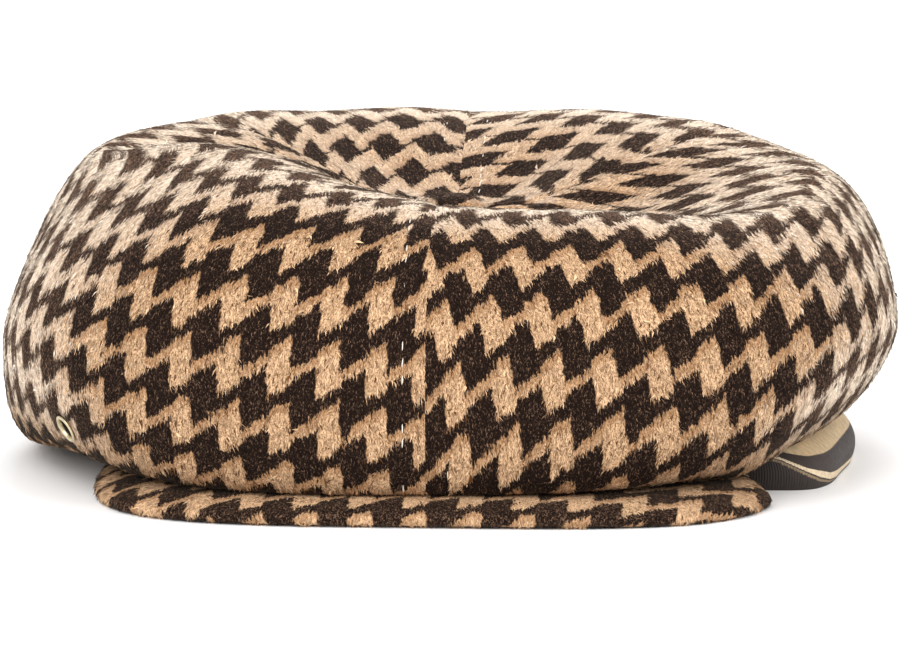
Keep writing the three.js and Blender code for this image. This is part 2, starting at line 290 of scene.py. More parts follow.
# The row of stitches on each side of a seam: how far aside, and how high over the cloth
STITCH_ROWS = ((-6.3, 0.0), (6.3, -0.35))
STITCH_FROM, STITCH_TO = 1.05, 3.8
STITCH_PLACES = 1200
STITCH_NEAREST = 20
STITCH_FIRST = 2.0
STITCH_LENGTH = 2.7
STITCH_PITCH = 4.6
STITCH_RADIUS = 0.17
STITCH_UNEVEN = 0.3
STITCH_SINK = (-0.5, 0.3)
STITCH_TILT = 4
STITCH_SEED = 5


def smooth(x, start, end):
    t = np.clip((x - start) / (end - start), 0, 1)
    return t * t * (3 - 2 * t)


def unit(vectors):
    return vectors / np.maximum(np.linalg.norm(vectors, axis=-1, keepdims=True), 1e-12)


def column(name, angle):
    """A column of the section table at any angle, by a closed cubic through its rows."""
    values = SECTIONS[:, SECTION_COLUMNS.index(name)]
    place = np.mod(angle, 360) / (360 / len(values))
    row = np.floor(place).astype(int)
    f = place - row
    a, b, c, d = (values[(row + step) % len(values)] for step in (-1, 0, 1, 2))
    bend = 2 * a - 5 * b + 4 * c - d
    twist = 3 * b - a - 3 * c + d
    return 0.5 * (2 * b + (c - a) * f + bend * f**2 + twist * f**3)


def wrap(angle):
    return np.mod(angle + 180, 360) - 180


def polar(angle, r, z):
    a = np.radians(angle)
    return np.stack(np.broadcast_arrays(AXIS_X + r * np.sin(a), AXIS_Y - r * np.cos(a), z), axis=-1)


def turnout(angle):
    """How far the sweatband is turned out, from 0 to 1."""
    a = wrap(angle)
    return smooth(a, TURN_START, TURN_FULL) * (1 - smooth(a, TURN_FADE, TURN_END))


def hem_height(angle):
    return column("foot_z", angle) + column("hem_rise", angle)


def band_top(angle):
    out = turnout(angle)
    return BAND_TOP + (hem_height(angle) + TURN_TOP_LIP - BAND_TOP) * out


def band_inner(angle, share):
    a = np.radians(angle)
    head = 1 / np.hypot(np.sin(a) / HEAD_HALF_WIDTH, np.cos(a) / HEAD_HALF_LENGTH)
    out = turnout(angle)
    bow = TURN_BOW * np.sin(np.pi * share) - TURN_LEAN * share
    return head + (TURN_RADIUS - head) * out + out * bow


def band_steepness(angle, share):
    step = 0.5
    change = band_inner(angle + step, share) - band_inner(angle - step, share)
    return change / math.radians(2 * step) / band_inner(angle, share)


def band_outer(angle, share):
    return band_inner(angle, share) + BAND * np.hypot(1, band_steepness(angle, share))


def beside_band(angle, height):
    share = np.minimum(1, height / band_top(angle))
    ease = BAND_EASE * np.abs(band_steepness(angle, share))
    return band_outer(angle, share) + SEW_GAP + ease


def section_point(angle, stretch):
    """Radius and height of the crown: stretch 0-1 tucks from hem to foot, 1-2 rises to the bulge,
    2-3 rolls over to the crest, 3-4 falls into the dip."""
    at = {name: column(name, angle) for name in SECTION_COLUMNS[1:]}
    hem_z = hem_height(angle)
    hem_r = beside_band(angle, hem_z)
    at["foot_z"] = at["foot_z"] - SAG * np.exp(-(((wrap(angle) - SAG_ANGLE) / SAG_WIDTH) ** 2))
    part = np.clip(np.floor(stretch), 0, 3)
    f = stretch - part
    up = np.clip(np.sin(f * np.pi / 2), 0, 1)
    away = np.clip(np.cos(f * np.pi / 2), 0, 1)
    tuck_r = at["foot_r"] + (hem_r - at["foot_r"]) * (1 - f)
    tuck_z = at["foot_z"] + (hem_z - at["foot_z"]) * (1 - up)
    belly_r = at["foot_r"] + (at["bulge_r"] - at["foot_r"]) * up ** at["belly"]
    belly_z = at["bulge_z"] - (at["bulge_z"] - at["foot_z"]) * away ** at["belly"]
    roll_r = at["crest_r"] + (at["bulge_r"] - at["crest_r"]) * away ** at["shoulder"]
    roll_z = at["bulge_z"] + (at["crest_z"] - at["bulge_z"]) * up ** at["shoulder"]
    dip_r = at["crest_r"] + (SEAT_RADIUS - at["crest_r"]) * f
    dip_rise = (1 - np.cos(np.pi * dip_r / at["crest_r"])) / 2
    dip_z = DIP_HEIGHT + (at["crest_z"] - DIP_HEIGHT) * dip_rise
    beside = (wrap(angle) - HOLLOW_ANGLE) / HOLLOW_WIDTH
    dip_z = dip_z - HOLLOW * np.exp(-(beside**2)) * np.sin(np.pi * f) ** 2
    choices = [part == k for k in range(4)]
    r = np.select(choices, [tuck_r, belly_r, roll_r, dip_r])
    z = np.select(choices, [tuck_z, belly_z, roll_z, dip_z])
    return r, z


def plain_crown(angle, stretch):
    return polar(angle, *section_point(angle, stretch))


def normal_of(surface, angle, stretch):
    turn, step = 0.05, 0.004
    above, below = np.minimum(4, stretch + step), np.maximum(0, stretch - step)
    along = surface(angle, above) - surface(angle, below)
    across = surface(angle + turn, stretch) - surface(angle - turn, stretch)
    return unit(np.cross(across, along))


def panel_share(angle):
    """Place across a panel, from -1 at one seam to 1 at the next."""
    turned = np.mod(angle, 360)
    k = np.clip(np.searchsorted(SEAMS, turned, side="right") - 1, 0, len(SEAMS) - 2)
    first = np.array(SEAMS)[k]
    last = np.array(SEAMS)[k + 1]
    return 2 * (turned - first) / (last - first) - 1, last - first


def relief(angle, stretch):
    """Cloth stands proud between seams and sinks along the folds of the dip."""
    share, _ = panel_share(angle)
    calm = smooth(stretch, PILLOW_FROM, PILLOW_FULL) * (1 - PILLOW_CALM_IN_DIP * smooth(stretch, 3, 4))
    lift = PILLOW * (1 - share**4 - PILLOW_SEAM_SHARE) * calm
    r, _ = section_point(angle, stretch)
    for fold_angle, near_r, far_r, width, depth in FOLDS:
        aside = np.radians(wrap(angle - fold_angle)) * r
        near = smooth(r, near_r, near_r + FOLD_NEAR_FADE)
        far = 1 - smooth(r, far_r - FOLD_FAR_FADE, far_r)
        lift = lift - (stretch > FOLDS_FROM) * depth * near * far * np.exp(-((aside / width) ** 2))
    return lift


def fine_relief(angle, stretch):
    """Seam valleys with puckers, gathers round the button, and soft rumples."""
    share, width = panel_share(angle)
    r, z = section_point(angle, stretch)
    turn = np.radians(angle)
    aside = (1 - np.abs(share)) * np.radians(width) / 2 * r
    sewn = smooth(stretch, SEWN_FROM, SEWN_FULL)
    sewn = sewn * (1 - smooth(r, SEAM_FADE_FROM, SEAM_FADE_TO) * SEAM_FADE)
    front_seam = np.cos(turn) > FRONT_SEAM_COSINE
    valley = SEAM_VALLEY * np.where(front_seam, 1, 1 - FLAT_SEAM_CALM)
    lift = -valley * np.exp(-((aside / SEAM_VALLEY_WIDTH) ** 2)) * sewn
    run = 2 * np.pi * (z + PUCKER_SLANT * r) / PUCKER_PITCH
    lift = lift + PUCKER * np.sin(run) * np.exp(-((aside / PUCKER_WIDTH) ** 2)) * sewn
    drawn_in = (stretch > 3) * smooth(r, GATHER_FROM, GATHER_FULL)
    drawn_in = drawn_in * (1 - smooth(r, GATHER_FADE, GATHER_REACH))
    gathers = np.cos(GATHER_COUNT * turn + GATHER_UNEVEN * np.sin(3 * turn))
    lift = lift + GATHER * drawn_in * gathers
    rng = np.random.default_rng(RUMPLE_SEED)
    waves = np.zeros_like(lift)
    for _ in range(RUMPLE_WAVES):
        around = rng.integers(*RUMPLES_AROUND)
        upward = rng.uniform(*RUMPLES_UPWARD)
        waves = waves + np.sin(around * turn + upward * stretch + rng.uniform(0, 2 * np.pi))
    waves = RUMPLE * waves / math.sqrt(RUMPLE_WAVES)
    return lift + waves * smooth(stretch, RUMPLE_FROM, RUMPLE_FULL)


def soft_crown(angle, stretch):
    normal = normal_of(plain_crown, angle, stretch)
    lift = relief(angle, stretch) + fine_relief(angle, stretch)
    return plain_crown(angle, stretch) + normal * lift[..., None]


def arc_length(points, axis):
    """Length run along an axis of a grid of points, starting at 0."""
    step = np.linalg.norm(np.diff(points, axis=axis), axis=-1)
    run = np.cumsum(step, axis=axis)
    pad = [(0, 0), (0, 0)]
    pad[axis] = (1, 0)
    return np.pad(run, pad)


def on_grain(name, across, along):
    """Place on the houndstooth of a point of the piece, both in millimetres."""
    x, y = across / GRAIN_STEP, along / GRAIN_STEP
    bend_x, bend_y = np.clip(x, *GRAIN_BEND_X), np.clip(y, *GRAIN_BEND_Y)
    bends = (np.ones_like(x), x, y, bend_x**2, bend_x * bend_y, bend_y**2)
    u, v = (sum(share * bend for share, bend in zip(row, bends)) for row in GRAIN[name])
    return np.stack([u * CHECK_ACROSS, v * CHECK_ALONG], axis=-1)


def patch(points, cloth):
    """A grid of points with its outward, downward and crossways directions. Rows run upwards."""
    along = np.gradient(points, axis=0)
    across = np.gradient(points, axis=1)
    outward = unit(np.cross(across, along))
    return SimpleNamespace(
        points=points, cloth=cloth, outward=outward, down=-unit(along), across=unit(across)
    )


def cell_areas(points):
    one = points[1:, 1:] - points[:-1, :-1]
    other = points[1:, :-1] - points[:-1, 1:]
    return np.linalg.norm(np.cross(one, other), axis=-1) / 2


def crown_grid(k):
    """Points of a soft crown panel, with the cloth run across from its first seam and up from
    the bulge."""
    first, last = SEAMS[k], SEAMS[k + 1]
    steps = [np.linspace(part, part + 1, rows, endpoint=False) for part, rows in enumerate(PANEL_ROWS)]
    stretch = np.append(np.concatenate(steps), 4.0)
    share, stretch = np.meshgrid(np.linspace(0, 1, PANEL_COLUMNS + 1), stretch)
    r, _ = section_point(first + (last - first) * share, stretch)
    trim = np.degrees(SEAM_GAP / 2 / r)
    points = soft_crown(first + trim + (last - first - 2 * trim) * share, stretch)
    run = arc_length(points, axis=0)
    return points, arc_length(points, axis=1), run - run[sum(PANEL_ROWS[:2])]


def crown_width(k):
    """Width of a crown panel from seam to seam, row by row."""
    return crown_grid(k)[1][:, -1]


def panel_patch(k):
    """A crown panel. Its check counts on from the front seam, or at the back from its middle line,
    and in the dip it keeps straight to the middle line."""
    points, across, along = crown_grid(k)
    name = PANEL_NAMES[k]
    middle = across[:, PANEL_COLUMNS // 2]
    across = across - middle[:, None]
    if "back" not in name:
        if "right" in name:
            middle = middle - crown_width(k)
        if name == "crown_side_left":
            middle = middle + crown_width(k - 1)
        if name == "crown_side_right":
            middle = middle - crown_width(k + 1)
        crest = sum(PANEL_ROWS[:3])
        middle = np.append(middle[:crest], np.full(len(middle) - crest, middle[crest]))
        across = across + middle[:, None]
    return patch(points, on_grain(name, across, along))


def new_object(name, mesh, *materials):
    made = bpy.data.objects.new(name, mesh)
    bpy.context.scene.collection.objects.link(made)
    for material in materials:
        mesh.materials.append(material)
    return made


def finish_mesh(bm, name):
    for face in bm.faces:
        face.smooth = True
    mesh = bpy.data.meshes.new(name)
    bm.to_mesh(mesh)
    bm.free()
    return mesh


def lay_grid(bm, points, cloth, uv_name):
    """A grid bent onto points, with its cloth coordinates as a UV map in metres."""
    rows, columns = points.shape[:2]
    made = bmesh.ops.create_grid(bm, x_segments=columns - 1, y_segments=rows - 1, size=0.5)
    uv = bm.loops.layers.uv.new(uv_name)
    spot = {
        v: (round((v.co.y + 0.5) * (rows - 1)), round((v.co.x + 0.5) * (columns - 1)))
        for v in made["verts"]
    }
    for face in bm.faces:
        for loop in face.loops:
            loop[uv].uv = cloth[spot[loop.vert]] * MM
    for v, place in spot.items():
        v.co = points[place] * MM
    return spot


def punch_hole(bm, spot, radius):
    """A round hole in cloth, cut from a finer patch of its grid."""

    def faces_within(reach):
        return [f for f in bm.faces if (f.calc_center_median() - spot).length < reach]

    near = {e for f in faces_within(HOLE_PATCH * radius) for e in f.edges}
    bmesh.ops.subdivide_edges(bm, edges=list(near), cuts=HOLE_CUTS, use_grid_fill=True)
    inside = faces_within(radius)
    bmesh.ops.delete(bm, geom=inside, context="FACES")


def sheet_object(name, p, thickness, *materials, uv_name="cloth", join=False, hole=None):
    """A cloth wall: a bent grid thickened inwards, with a hole of a radius at a spot if given."""
    bm = bmesh.new()
    lay_grid(bm, p.points, p.cloth, uv_name)
    if hole:
        punch_hole(bm, *hole)
    if join:
        bmesh.ops.remove_doubles(bm, verts=bm.verts, dist=1e-6)
    for edge in bm.edges:
        edge.smooth = not edge.is_boundary
    made = new_object(name, finish_mesh(bm, name), *materials)
    wall = made.modifiers.new("wall", "SOLIDIFY")
    wall.thickness = thickness * MM
    wall.offset = -1
    return made


def between(field, j, i, fy, fx):
    """A field of a patch at places between its grid points."""
    low = field[j, i] * (1 - fx)[:, None] + field[j, i + 1] * fx[:, None]
    high = field[j + 1, i] * (1 - fx)[:, None] + field[j + 1, i + 1] * fx[:, None]
    return low * (1 - fy)[:, None] + high * fy[:, None]


def repeat_offset(value, centre):
    return np.mod(value - centre + 0.5, 1) - 0.5


def on_dark(cloth):
    """Whether a place on the cloth is dark in the check."""
    u, v = cloth[..., 0] / CHECK_ACROSS, cloth[..., 1] / CHECK_ALONG
    post = np.abs(repeat_offset(u, DARK_COLUMN_AT)) < DARK_COLUMN / 2
    dark_climb = 2 * DARK_LINK_RISE * repeat_offset(u, LIGHT_COLUMN_AT)
    light_climb = 2 * LIGHT_LINK_RISE * repeat_offset(u, DARK_COLUMN_AT)
    dark_link = np.abs(repeat_offset(v - dark_climb, DARK_LINK_AT)) < DARK_LINK / 2
    light_link = np.abs(repeat_offset(v - light_climb, LIGHT_LINK_AT)) < LIGHT_LINK / 2
    return np.where(post, ~light_link, dark_link)


def comb_nap(name, p, count, weight, seed, material, bare=None):
    """Short wool strands combed down over a patch: slim closed blades, each with the cloth
    coordinates of its root so that it keeps the colour of the check it grows from. None grow
    within the radius of a bare spot."""
    rng = np.random.default_rng(seed)
    share = cell_areas(p.points) * weight
    pick = rng.choice(share.size, count, p=(share / share.sum()).ravel())
    j, i = np.divmod(pick, share.shape[1])
    fy, fx = rng.random(count), rng.random(count)
    if bare:
        spot, radius = bare
        away = np.linalg.norm(between(p.points, j, i, fy, fx) * MM - np.array(spot), axis=-1)
        j, i, fy, fx = (values[away > radius] for values in (j, i, fy, fx))
        count = len(j)
    root, cloth = between(p.points, j, i, fy, fx), between(p.cloth, j, i, fy, fx)
    outward = unit(between(p.outward, j, i, fy, fx))
    down, across = (unit(between(d, j, i, fy, fx)) for d in (p.down, p.across))

    stray = rng.random(count) < STRAY_SHARE
    length = np.where(stray, rng.uniform(*STRAY_LENGTH, count), rng.uniform(*STRAND_LENGTH, count))
    length = length * np.where(on_dark(cloth), DARK_STRAND_SHARE, 1.0)
    waver = DRIFT_WAVER * np.sin(cloth[:, 1] / DRIFT_ALONG)
    drift = DRIFT * np.sin(cloth[:, 0] / DRIFT_ACROSS + waver)
    swerve = rng.normal(0, STRAND_SWERVE, count) * np.where(stray, STRAY_SWERVE, 1) + drift
    swerve = np.radians(swerve)
    lie = unit(down * np.cos(swerve)[:, None] + across * np.sin(swerve)[:, None])
    side = np.cross(outward, lie)
    rise = np.where(stray, rng.uniform(*STRAY_RISE, count), rng.uniform(*STRAND_RISE, count))
    half = rng.uniform(*STRAND_HALF_WIDTH, count)
    base = root - outward * STRAND_SINK
    curl = rng.normal(0, STRAND_CURL, count) * length
    belly = BELLY_RISE * rise * length + BELLY_LIFT
    middle = base + lie * (BELLY_PLACE * length)[:, None] + outward * belly[:, None]
    middle = middle + side * curl[:, None]
    tip = base + lie * length[:, None] + outward * (rise * length + TIP_LIFT)[:, None]
    left, right = middle - side * half[:, None], middle + side * half[:, None]

    verts = np.stack([left, right, base, tip], axis=1).reshape(-1, 3) * MM
    verts[:, 2] = np.maximum(verts[:, 2], LOWEST_STRAND * MM)
    corners = np.array([(0, 1, 2), (1, 0, 3), (0, 2, 3), (2, 1, 3)])
    faces = (corners[None] + 4 * np.arange(count)[:, None, None]).reshape(-1, 3)
    mesh = bpy.data.meshes.new(name)
    mesh.from_pydata(verts, [], faces)
    loops = faces.ravel()
    mesh.uv_layers.new(name="cloth").data.foreach_set("uv", (cloth[loops // 4] * MM).ravel())

    cells = math.ceil(math.sqrt(count))
    near, far = CELL_MARGIN, 1 - CELL_MARGIN
    corner = np.array([(near, 0.5), (far, 0.5), (0.5, near), (0.5, far)])
    cell = np.stack([np.arange(count) % cells, np.arange(count) // cells], axis=-1)
    mesh.uv_layers.new(name="OFBake").data.foreach_set(
        "uv", ((cell[loops // 4] + corner[loops % 4]) / cells).ravel()
    )
    shade = mesh.attributes.new("shade", "FLOAT", "POINT")
    shade.data.foreach_set("value", np.repeat(rng.random(count), 4))
    lean = SIDE_LEAN * side * rng.normal(0, 1, count)[:, None]
    lean = unit(outward + lean + DOWN_LEAN * lie)
    mesh.normals_split_custom_set_from_vertices(np.repeat(lean, 4, axis=0))
    return new_object(name, mesh, material)


# Shader helpers


def put(tree, kind, inputs=(), **settings):
    """A node with its settings, and its inputs linked or set by name or number."""
    made = tree.nodes.new(kind)
    for name, value in settings.items():
        setattr(made, name, value)
    for name, value in dict(inputs).items():
        if isinstance(value, bpy.types.NodeSocket):
            tree.links.new(value, made.inputs[name])
        else:
            made.inputs[name].default_value = value
    return made


def reckon(tree, operation, *values):
    return put(tree, "ShaderNodeMath", dict(enumerate(values)), operation=operation).outputs[0]


def blend(tree, factor, a, b):
    inputs = {0: factor, 6: a, 7: b}
    return put(tree, "ShaderNodeMix", inputs, data_type="RGBA").outputs[2]


def noise(tree, vector, scale, detail=2.0, rough=0.5):
    inputs = {"Vector": vector, "Scale": scale, "Detail": detail, "Roughness": rough}
    return put(tree, "ShaderNodeTexNoise", inputs).outputs[0]


def stretched(tree, vector, scale):
    inputs = {0: vector, 1: scale}
    return put(tree, "ShaderNodeVectorMath", inputs, operation="MULTIPLY").outputs[0]


def ranged(tree, value, low, high, to_low=0.0, to_high=1.0, kind="SMOOTHSTEP"):
    inputs = {0: value, 1: low, 2: high, 3: to_low, 4: to_high}
    return put(tree, "ShaderNodeMapRange", inputs, interpolation_type=kind).outputs[0]


def shader_group(name, inputs, outputs):
    tree = bpy.data.node_groups.new(name, "ShaderNodeTree")
    for label, kind in inputs.items():
        tree.interface.new_socket(name=label, in_out="INPUT", socket_type=kind)
    for label, kind in outputs.items():
        tree.interface.new_socket(name=label, in_out="OUTPUT", socket_type=kind)
    return tree, put(tree, "NodeGroupInput").outputs, put(tree, "NodeGroupOutput").inputs


def new_material(name):
    material = bpy.data.materials.new(name)
    material.use_nodes = True
    material.node_tree.nodes.clear()
    return material, material.node_tree


def surface(tree, inputs):
    shader = put(tree, "ShaderNodeBsdfPrincipled", inputs)
    put(tree, "ShaderNodeOutputMaterial", {"Surface": shader.outputs[0]})


def about(tree, value, centre):
    """Offset of a repeating value from a place in its repeat, from -0.5 to 0.5."""
    ahead = reckon(tree, "FRACT", reckon(tree, "SUBTRACT", value, centre - 0.5))
    return reckon(tree, "SUBTRACT", ahead, 0.5)


# The check's edges: softer and longer combed where the nap is seen edge-on (rim), and more evenly
# shared between dark and light where it lies open in the sunk top
CHECK_SOFTNESS = 0.017
RIM_SOFTNESS = 0.08
RIM_FEATHER = 16
RIM_COVER = 0.02
OPEN_LINK = 0.16
OPEN_DARK_LINK = 0.16
OPEN_COLUMN = 0.13
OPEN_FEATHER = 0.4
STREAK_SCALE = (1500, 190, 0)
WANDER_SCALE = 260.0
WANDER_ACROSS, WANDER_ALONG = 3.0, 5.0


def soft_step(tree, value, edge, soft):
    """1 below an edge and 0 above it, with a soft border on both sides."""
    return ranged(tree, value, reckon(tree, "ADD", soft, edge), reckon(tree, "SUBTRACT", edge, soft))


def swing(tree, value, size):
    """A value from 0 to 1 as a swing of a size to both sides of nothing."""
    return reckon(tree, "MULTIPLY", reckon(tree, "SUBTRACT", value, 0.5), size)


def half_width(tree, sunk, plain, change):
    """Half of a plain width that changes where the nap lies open."""
    return reckon(tree, "ADD", reckon(tree, "MULTIPLY", sunk, change / 2), plain / 2)


def rising_link(tree, u, v, column_centre, level, half, rise, covered, soft):
    """A slanted bar across the column at column_centre, rising by rise from side to side."""
    climb = reckon(tree, "MULTIPLY", about(tree, u, column_centre), 2 * rise)
    off = reckon(tree, "ABSOLUTE", about(tree, reckon(tree, "SUBTRACT", v, climb), level))
    off = reckon(tree, "ADD", off, covered)
    return soft_step(tree, off, half, soft)


def houndstooth_group():
    """The check: dark and light columns, each crossed once a repeat by a rising link of the other."""
    tree, given, result = shader_group(
        "houndstooth",
        {
            "Cloth": "NodeSocketVector",
            "Feather": "NodeSocketFloat",
            "Rim": "NodeSocketFloat",
            "Open": "NodeSocketFloat",
        },
        {"Dark": "NodeSocketFloat", "Streak": "NodeSocketFloat"},
    )
    cloth, rim, sunk = given["Cloth"], given["Rim"], given["Open"]
    streak = noise(tree, stretched(tree, cloth, STREAK_SCALE), scale=1.0, detail=3.0, rough=0.65)
    wander = {"Vector": cloth, "Scale": WANDER_SCALE, "Detail": 2.0}
    wander = put(tree, "ShaderNodeTexNoise", wander).outputs[1]
    wander = put(tree, "ShaderNodeSeparateXYZ", {0: wander}).outputs
    place = put(tree, "ShaderNodeSeparateXYZ", {0: cloth}).outputs
    combed = reckon(tree, "MULTIPLY", rim, RIM_FEATHER * MM)
    combed = reckon(tree, "ADD", given["Feather"], combed)
    combed = reckon(tree, "MULTIPLY", combed, ranged(tree, sunk, 0, 1, 1, OPEN_FEATHER, "LINEAR"))
    shift = swing(tree, streak, combed)
    shift = reckon(tree, "ADD", shift, swing(tree, wander[1], WANDER_ALONG * MM))
    bend = swing(tree, wander[0], WANDER_ACROSS * MM)
    u = reckon(tree, "DIVIDE", reckon(tree, "ADD", place[0], bend), CHECK_ACROSS * MM)
    v = reckon(tree, "DIVIDE", reckon(tree, "ADD", place[1], shift), CHECK_ALONG * MM)

    column_half = half_width(tree, sunk, DARK_COLUMN, OPEN_COLUMN)
    light_half = half_width(tree, sunk, LIGHT_LINK, OPEN_LINK)
    dark_half = half_width(tree, sunk, DARK_LINK, -OPEN_DARK_LINK)
    soft = reckon(tree, "ADD", reckon(tree, "MULTIPLY", rim, RIM_SOFTNESS), CHECK_SOFTNESS)
    covered = reckon(tree, "MULTIPLY", rim, RIM_COVER)
    aside = reckon(tree, "ABSOLUTE", about(tree, u, DARK_COLUMN_AT))
    post = soft_step(tree, reckon(tree, "ADD", aside, covered), column_half, soft)
    dark_link = rising_link(
        tree, u, v, LIGHT_COLUMN_AT, DARK_LINK_AT, dark_half, DARK_LINK_RISE, covered, soft
    )
    light_link = rising_link(
        tree, u, v, DARK_COLUMN_AT, LIGHT_LINK_AT, light_half, LIGHT_LINK_RISE, 0.0, soft
    )
    between_posts = reckon(tree, "MULTIPLY", reckon(tree, "SUBTRACT", 1.0, post), dark_link)
    on_posts = reckon(tree, "MULTIPLY", post, reckon(tree, "SUBTRACT", 1.0, light_link))
    tree.links.new(reckon(tree, "ADD", between_posts, on_posts), result["Dark"])
    tree.links.new(streak, result["Streak"])
    return tree


# Each wool from a shaded to a lit strand, and paler by a painted sheen where the nap is seen
# edge-on. Tips are the few lit strands of the dark wool, more of them in the painted sheen, and
# tufts a mottle of neighbouring strands
TAN = ((0.08, 0.032, 0.01, 1), (0.74, 0.48, 0.282, 1))
BROWN = ((0.007, 0.003, 0.0017, 1), (0.15, 0.088, 0.056, 1))
SHEEN_PAINTED_TAN = ((0.74, 0.56, 0.40, 1), (1.0, 0.91, 0.79, 1))
SHEEN_PAINTED_BROWN = (0.27, 0.15, 0.095, 1)
# Painted shade: the camel darkens towards SHADED_TAN where dark nap hangs over it from just above
SHADED_TAN = (0.19, 0.078, 0.022, 1)
TAN_SHADING = 0.45
DARK_TIPS, SHEEN_EDGE_TIPS = 6.0, 2.0
TUFT_SCALE = (1700, 750, 0)
TUFT_FROM, TUFT_TO = 0.35, 0.65
TUFTS, EDGE_TUFTS = 0.5, 0.5
# Facing range of the painted edge sheen, and where it is full on the dark wool
EDGE_FROM, EDGE_TO = 0.38, 0.86
EDGE_FULL = 0.7
OVERHANG = 2.2
CLOTH_FEATHER, NAP_FEATHER = 6, 4
OPEN_FULL, OPEN_NONE = 60, 95
# Heights over which the painted sheen grows above the shaded low tuck, and its share in the sunk top
RIM_FROM_HEIGHT, RIM_FULL_HEIGHT = 9, 32
DIP_RIM = 0.5
FUZZ_SCALE = (2300, 1300, 0)
FUZZ_FROM, FUZZ_TO = 0.36, 0.64
FUZZ_SHADES = (0.05, 0.72)
HAIR_SHADE = 0.35
HAIR_WARP_SCALE = 420.0
HAIR_WARP = (2.2, 2.2, 0)
HAIR_LAYERS = (((520, 250, 0), 0.0), ((760, 340, 0), 7.0))
HAIR_WIDTH = (0.026, 0.006)
WOOL_SHEEN = {
    "Specular IOR Level": 0.1,
    "Sheen Weight": 0.05,
    "Sheen Roughness": 0.3,
    "Sheen Tint": (1.0, 0.84, 0.64, 1),
}


def wool_colour_group():
    """Camel and near-black wool, each from a shaded to a lit strand, paler by a painted sheen where
    seen edge-on, and the camel darker by painted shade under dark nap just above.
    """
    tree, given, result = shader_group(
        "wool colour",
        {
            "Dark": "NodeSocketFloat",
            "Shade From Dark Above": "NodeSocketFloat",
            "Shade": "NodeSocketFloat",
            "Rim": "NodeSocketFloat",
        },
        {"Colour": "NodeSocketColor"},
    )
    lit = blend(tree, given["Shade"], *TAN)
    shaded = reckon(tree, "MULTIPLY", given["Shade From Dark Above"], TAN_SHADING)
    # Painted sheen: the paler camel where the nap is seen edge-on
    pale = blend(tree, given["Shade"], *SHEEN_PAINTED_TAN)
    camel = blend(tree, given["Rim"], blend(tree, shaded, lit, SHADED_TAN), pale)
    # Painted sheen on the dark wool: more and paler lit tips where seen edge-on
    edge = ranged(tree, given["Rim"], 0, EDGE_FULL, 0, 1, "LINEAR")
    thinning = ranged(tree, edge, 0, 1, DARK_TIPS, SHEEN_EDGE_TIPS, "LINEAR")
    tips = reckon(tree, "POWER", given["Shade"], thinning)
    brown = blend(tree, tips, BROWN[0], blend(tree, edge, BROWN[1], SHEEN_PAINTED_BROWN))
    tree.links.new(blend(tree, given["Dark"], camel, brown), result["Colour"])
    return tree


def fine_hairs(tree, cloth):
    """Thin curly lines, as of single hairs lying on the cloth."""
    warp = {"Vector": cloth, "Scale": HAIR_WARP_SCALE, "Detail": 2.0}
    wavy = stretched(tree, put(tree, "ShaderNodeTexNoise", warp).outputs[1], HAIR_WARP)
    lines = []
    for scale, shift in HAIR_LAYERS:
        run = put(tree, "ShaderNodeVectorMath", {0: stretched(tree, cloth, scale), 1: wavy}).outputs[0]
        run = put(tree, "ShaderNodeVectorMath", {0: run, 1: (shift, shift, 0)}).outputs[0]
        level = noise(tree, run, scale=1.0, detail=1.0)
        off = reckon(tree, "ABSOLUTE", reckon(tree, "SUBTRACT", level, 0.5))
        lines.append(ranged(tree, off, *HAIR_WIDTH))
    return reckon(tree, "MAXIMUM", *lines)


def in_dip(tree):
    """1 in the sunk top, where the nap lies open, falling to 0 over the crest."""
    place = put(tree, "ShaderNodeTexCoord").outputs["Object"]
    flat = stretched(tree, place, (1, 1, 0))
    away = put(tree, "ShaderNodeVectorMath", {0: flat}, operation="LENGTH").outputs["Value"]
    return ranged(tree, away, OPEN_NONE * MM, OPEN_FULL * MM)


def wool_colour(tree, cloth, feather, rim, shade):
    """Colour of the check at a place, with painted shade where dark nap hangs over it from just above,
    and the streaks of the check's combed edges."""
    # The check just above is the mask of the painted shade under overhanging dark nap
    above = put(tree, "ShaderNodeVectorMath", {0: cloth, 1: (0, OVERHANG * MM, 0)}).outputs[0]
    nap = {"Feather": feather * MM, "Rim": rim, "Open": in_dip(tree)}
    here, over = (
        put(tree, "ShaderNodeGroup", {"Cloth": at, **nap}, node_tree=CHECK).outputs
        for at in (cloth, above)
    )
    tone = {"Dark": here["Dark"], "Shade From Dark Above": over["Dark"], "Shade": shade, "Rim": rim}
    colour = put(tree, "ShaderNodeGroup", tone, node_tree=COLOURS)
    return colour.outputs["Colour"], here["Streak"]


def painted_edge_sheen(tree, strength):
    """How far the nap is seen edge-on, for the painted sheen that makes the wool paler there. The low
    tuck stays in shade, and the sunk top gets less of the painted sheen.
    """
    facing = put(tree, "ShaderNodeLayerWeight", {"Blend": 0.5}).outputs["Facing"]
    place = put(tree, "ShaderNodeTexCoord").outputs["Object"]
    height = put(tree, "ShaderNodeSeparateXYZ", {0: place}).outputs[2]
    open_air = ranged(tree, height, RIM_FROM_HEIGHT * MM, RIM_FULL_HEIGHT * MM, 0.0, strength)
    in_shelter = ranged(tree, in_dip(tree), 0, 1, 1, DIP_RIM, "LINEAR")
    open_air = reckon(tree, "MULTIPLY", open_air, in_shelter)
    edge = ranged(tree, facing, EDGE_FROM, EDGE_TO, 0.0, 1.0, "LINEAR")
    return reckon(tree, "MULTIPLY", edge, open_air)


